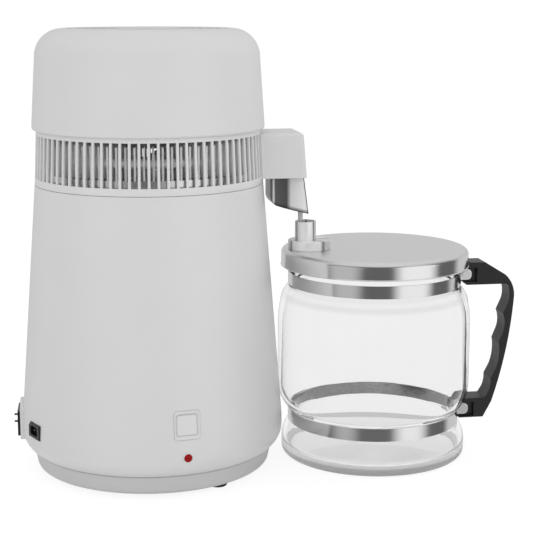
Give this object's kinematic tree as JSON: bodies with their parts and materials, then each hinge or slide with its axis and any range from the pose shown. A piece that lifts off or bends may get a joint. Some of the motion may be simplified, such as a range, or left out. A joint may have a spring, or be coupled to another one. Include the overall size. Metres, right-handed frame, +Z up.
{
  "type": "water distiller",
  "caption": "Countertop water distiller: a tapered boiler base, a lift-off fan-cooled condenser head with a spout, and a glass collection jar with a lid, filter cup and side handle.",
  "frame": {"origin": "the boiler's axis on the table, under its feet", "axes": "+Z up, +X from the boiler's axis towards the spout and the jar, +Y to the far side from the button"},
  "size_m": [0.4517, 0.23, 0.3836],
  "materials": {
    "rubber": "matt black rubber",
    "white_plastic": "satin white moulded plastic and powder coat",
    "steel": "polished stainless steel",
    "aluminium": "plain aluminium",
    "heater_steel": "dull steel",
    "black_plastic": "matt black plastic",
    "red_lens": "clear red lens",
    "contact_metal": "plated contact pins",
    "silicone": "translucent white silicone",
    "glass": "clear glass",
    "charcoal": "pressed charcoal grains"
  },
  "bodies": {
    "base": {"foot_1": "rubber", "foot_2": "rubber", "foot_3": "rubber", "plinth": "white_plastic", "housing": "white_plastic", "boiling_pot": "steel", "heater_plate": "aluminium", "heating_element": "heater_steel", "heater_posts": "heater_steel", "thermostat": "black_plastic", "thermal_cutout": "black_plastic", "button_bezel": "white_plastic", "switch_body": "black_plastic", "lamp_holder": "black_plastic", "lamp_lens": "red_lens", "power_inlet": "black_plastic", "inlet_pins": "contact_metal", "fan_socket": "black_plastic", "fan_socket_pins": "contact_metal"},
    "button": {"button": "white_plastic"},
    "seal": {"head_seal": "silicone"},
    "head": {"head_pan": "steel", "vent_ring": "white_plastic", "head_cover": "white_plastic", "steam_pipe": "steel", "steam_sleeve": "silicone", "condenser_coil": "aluminium", "fan_deck": "white_plastic", "fan_motor": "black_plastic", "fan_inlet": "black_plastic", "fan_inlet_pins": "contact_metal", "spout_housing": "white_plastic", "spout_chute": "steel", "drip_tube": "silicone"},
    "fan": {"fan_shaft": "steel", "fan_rotor": "black_plastic"},
    "jar": {"jar_glass": "glass", "neck_band": "steel", "waist_band": "steel", "handle": "black_plastic", "handle_bolt_upper": "steel", "handle_bolt_lower": "steel"},
    "lid": {"lid": "steel", "lid_gasket": "silicone", "filter_collar": "steel"},
    "cup": {"filter_cup": "steel", "carbon_filter": "charcoal"}
  },
  "joints": [
    {"name": "head_lift", "type": "slide", "parent": "base", "child": "seal", "axis": [0, 0, 1], "range_m": [0, 0.16]},
    {"name": "head_turn", "type": "hinge", "parent": "seal", "child": "head", "pos_m": [0, 0, 0.252], "axis": [0, 0, 1], "continuous": true},
    {"name": "fan_spin", "type": "hinge", "parent": "head", "child": "fan", "pos_m": [0, 0, 0.33], "axis": [0, 0, 1], "continuous": true},
    {"name": "button_press", "type": "slide", "parent": "base", "child": "button", "axis": [-0.1689, 0.9827, -0.0758], "range_m": [0, 0.0024], "stiffness_N_per_m": 400, "springref_m": -0.002},
    {"name": "jar_slide", "type": "slide", "parent": "base", "child": "jar", "axis": [1, 0, 0], "range_m": [0, 0.15]},
    {"name": "lid_lift", "type": "slide", "parent": "jar", "child": "lid", "axis": [0, 0, 1], "range_m": [0, 0.007]},
    {"name": "cup_lift", "type": "slide", "parent": "lid", "child": "cup", "axis": [0, 0, 1], "range_m": [0, 0.007]}
  ]
}
